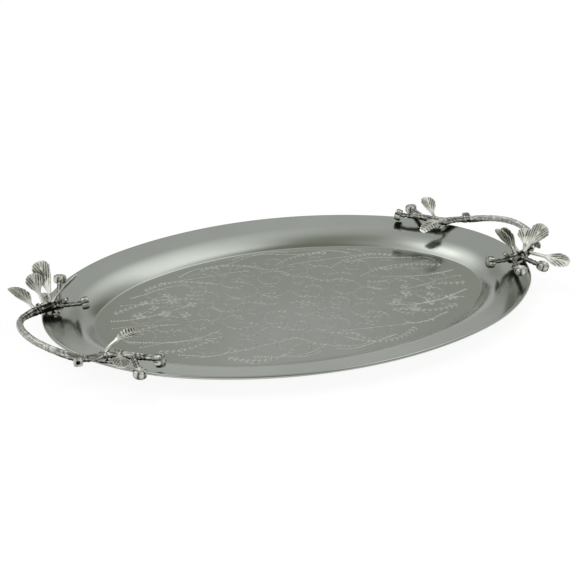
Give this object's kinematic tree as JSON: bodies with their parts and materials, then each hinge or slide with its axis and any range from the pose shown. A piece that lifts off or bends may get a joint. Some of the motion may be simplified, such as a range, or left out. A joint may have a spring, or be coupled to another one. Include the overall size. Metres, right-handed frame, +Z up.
{
  "type": "serving tray",
  "caption": "Oval steel serving tray with a shallow well and a wide sloping rim, carried by a cast twig handle with leaves and buds at each end.",
  "frame": {"origin": "centre of the flat underside of the floor", "axes": "+X along the length of the tray, +Y across it, +Z up out of the well"},
  "size_m": [0.4868, 0.2998, 0.0569],
  "materials": {
    "pan_steel": "satin polished sheet, floor etched with scrolls and leaves",
    "handle_metal": "cast white metal, antiqued plating, dark in the recesses",
    "fastener_steel": "plain turned"
  },
  "bodies": {
    "root": {"tray_pan": "pan_steel", "left_twig": "handle_metal", "left_cluster_post": "handle_metal", "left_tail_post": "handle_metal", "left_screws": "fastener_steel", "left_washers": "fastener_steel", "left_outer_leaf": "handle_metal", "left_top_leaf": "handle_metal", "left_middle_leaf": "handle_metal", "left_inner_leaf": "handle_metal", "left_well_leaf": "handle_metal", "left_rim_leaf": "handle_metal", "left_back_bud": "handle_metal", "left_low_bud": "handle_metal", "left_inner_bud": "handle_metal", "left_side_bud": "handle_metal", "left_end_bud": "handle_metal", "right_twig": "handle_metal", "right_cluster_post": "handle_metal", "right_tail_post": "handle_metal", "right_screws": "fastener_steel", "right_washers": "fastener_steel", "right_outer_leaf": "handle_metal", "right_top_leaf": "handle_metal", "right_middle_leaf": "handle_metal", "right_inner_leaf": "handle_metal", "right_well_leaf": "handle_metal", "right_rim_leaf": "handle_metal", "right_second_leaf": "handle_metal", "right_small_leaf": "handle_metal", "right_back_bud": "handle_metal", "right_low_bud": "handle_metal", "right_inner_bud": "handle_metal", "right_side_bud": "handle_metal", "right_end_bud": "handle_metal"}
  },
  "joints": []
}
